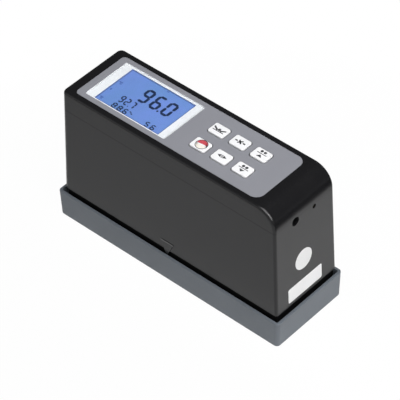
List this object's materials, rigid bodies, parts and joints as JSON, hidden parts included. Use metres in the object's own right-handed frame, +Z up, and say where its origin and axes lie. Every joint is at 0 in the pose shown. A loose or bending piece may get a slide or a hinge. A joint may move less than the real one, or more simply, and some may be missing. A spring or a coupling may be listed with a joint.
{
  "type": "gloss meter",
  "caption": "Hand-held gloss meter with a backlit display, press keys, a round nose and a rear battery door, standing in a shallow calibration tray with a gloss tile",
  "frame": {"origin": "middle of the tray's footprint, on the surface it stands on", "axes": "+X towards the nose end with the sockets, +Y towards the far long side, +Z up"},
  "size_m": [0.144, 0.0484, 0.0825],
  "materials": {
    "case_black": "fine satin texture",
    "base_black": "matt",
    "door_black": "fine satin texture",
    "tray_grey": "satin",
    "tile_glass": "polished",
    "foam_grey": "soft, matt",
    "panel_grey": "satin print",
    "window_clear": "clear, glossy",
    "border_white": "matt print",
    "display_blue": "lit from behind",
    "holder_white": "matt",
    "light_white": "milky, lit",
    "strip_grey": "matt",
    "key_white": "satin",
    "switch_black": "matt",
    "board_green": "solder mask",
    "chip_black": "matt",
    "socket_black": "plain",
    "trimmer_blue": "plain",
    "rotor_brass": "turned",
    "block_black": "black anodised",
    "lens_glass": "polished",
    "spacer_black": "black anodised",
    "lamp_clear": "clear",
    "diode_metal": "drawn can",
    "cell_jacket": "printed sleeve, plain",
    "contact_steel": "nickel plated",
    "box_black": "matt",
    "screw_steel": "blackened"
  },
  "bodies": {
    "meter": {"calibration_tray": "tray_grey", "gloss_tile": "tile_glass", "tile_pad": "foam_grey", "base_frame": "base_black", "lower_housing": "case_black", "upper_cover": "case_black", "control_panel": "panel_grey", "display_window": "window_clear", "display_border": "border_white", "display_glass": "display_blue", "display_holder": "holder_white", "display_light": "light_white", "contact_strip": "strip_grey", "main_board": "board_green", "controller_chip": "chip_black", "jack_socket": "socket_black", "trimmer_body": "trimmer_blue", "optical_block": "block_black", "source_lens": "lens_glass", "source_spacer": "spacer_black", "source_slit": "spacer_black", "condenser_lens": "lens_glass", "lamp_holder": "socket_black", "lamp": "lamp_clear", "lamp_board": "board_green", "receiver_lens": "lens_glass", "receiver_spacer": "spacer_black", "receiver_stop": "spacer_black", "diode_holder": "socket_black", "photodiode": "diode_metal", "sensor_board": "board_green", "battery_box": "box_black", "cell_1": "cell_jacket", "cell_2": "cell_jacket", "cell_3": "cell_jacket", "cell_4": "cell_jacket", "contact_top_near": "contact_steel", "contact_top_far": "contact_steel", "contact_bridge": "contact_steel", "contact_minus": "contact_steel", "contact_plus": "contact_steel", "cover_screws": "screw_steel", "base_screws": "screw_steel", "optics_screws": "screw_steel", "board_screws": "screw_steel", "switch_read": "switch_black", "switch_clear": "switch_black", "switch_up": "switch_black", "switch_power": "switch_black", "switch_range": "switch_black", "switch_down": "switch_black"},
    "read_key": {"key_read": "key_white"},
    "clear_key": {"key_clear": "key_white"},
    "up_key": {"key_up": "key_white"},
    "power_key": {"key_power": "key_white"},
    "range_key": {"key_range": "key_white"},
    "down_key": {"key_down": "key_white"},
    "door": {"battery_door": "door_black"},
    "trimmer": {"trimmer_rotor": "rotor_brass"}
  },
  "joints": [
    {"name": "read_press", "type": "slide", "parent": "meter", "child": "read_key", "axis": [0, 0, -1], "range_m": [0, 0.0005], "stiffness_N_per_m": 1500, "springref_m": -0.0005},
    {"name": "clear_press", "type": "slide", "parent": "meter", "child": "clear_key", "axis": [0, 0, -1], "range_m": [0, 0.0005], "stiffness_N_per_m": 1500, "springref_m": -0.0005},
    {"name": "up_press", "type": "slide", "parent": "meter", "child": "up_key", "axis": [0, 0, -1], "range_m": [0, 0.0005], "stiffness_N_per_m": 1500, "springref_m": -0.0005},
    {"name": "power_press", "type": "slide", "parent": "meter", "child": "power_key", "axis": [0, 0, -1], "range_m": [0, 0.0005], "stiffness_N_per_m": 1500, "springref_m": -0.0005},
    {"name": "range_press", "type": "slide", "parent": "meter", "child": "range_key", "axis": [0, 0, -1], "range_m": [0, 0.0005], "stiffness_N_per_m": 1500, "springref_m": -0.0005},
    {"name": "down_press", "type": "slide", "parent": "meter", "child": "down_key", "axis": [0, 0, -1], "range_m": [0, 0.0005], "stiffness_N_per_m": 1500, "springref_m": -0.0005},
    {"name": "door_slide", "type": "slide", "parent": "meter", "child": "door", "axis": [-0.0373, 0, -0.9993], "range_m": [0, 0.0065]},
    {"name": "trimmer_turn", "type": "hinge", "parent": "meter", "child": "trimmer", "pos_m": [0.065, 0.0069, 0.0688], "axis": [1, 0, 0], "range_deg": [-135, 135]}
  ]
}
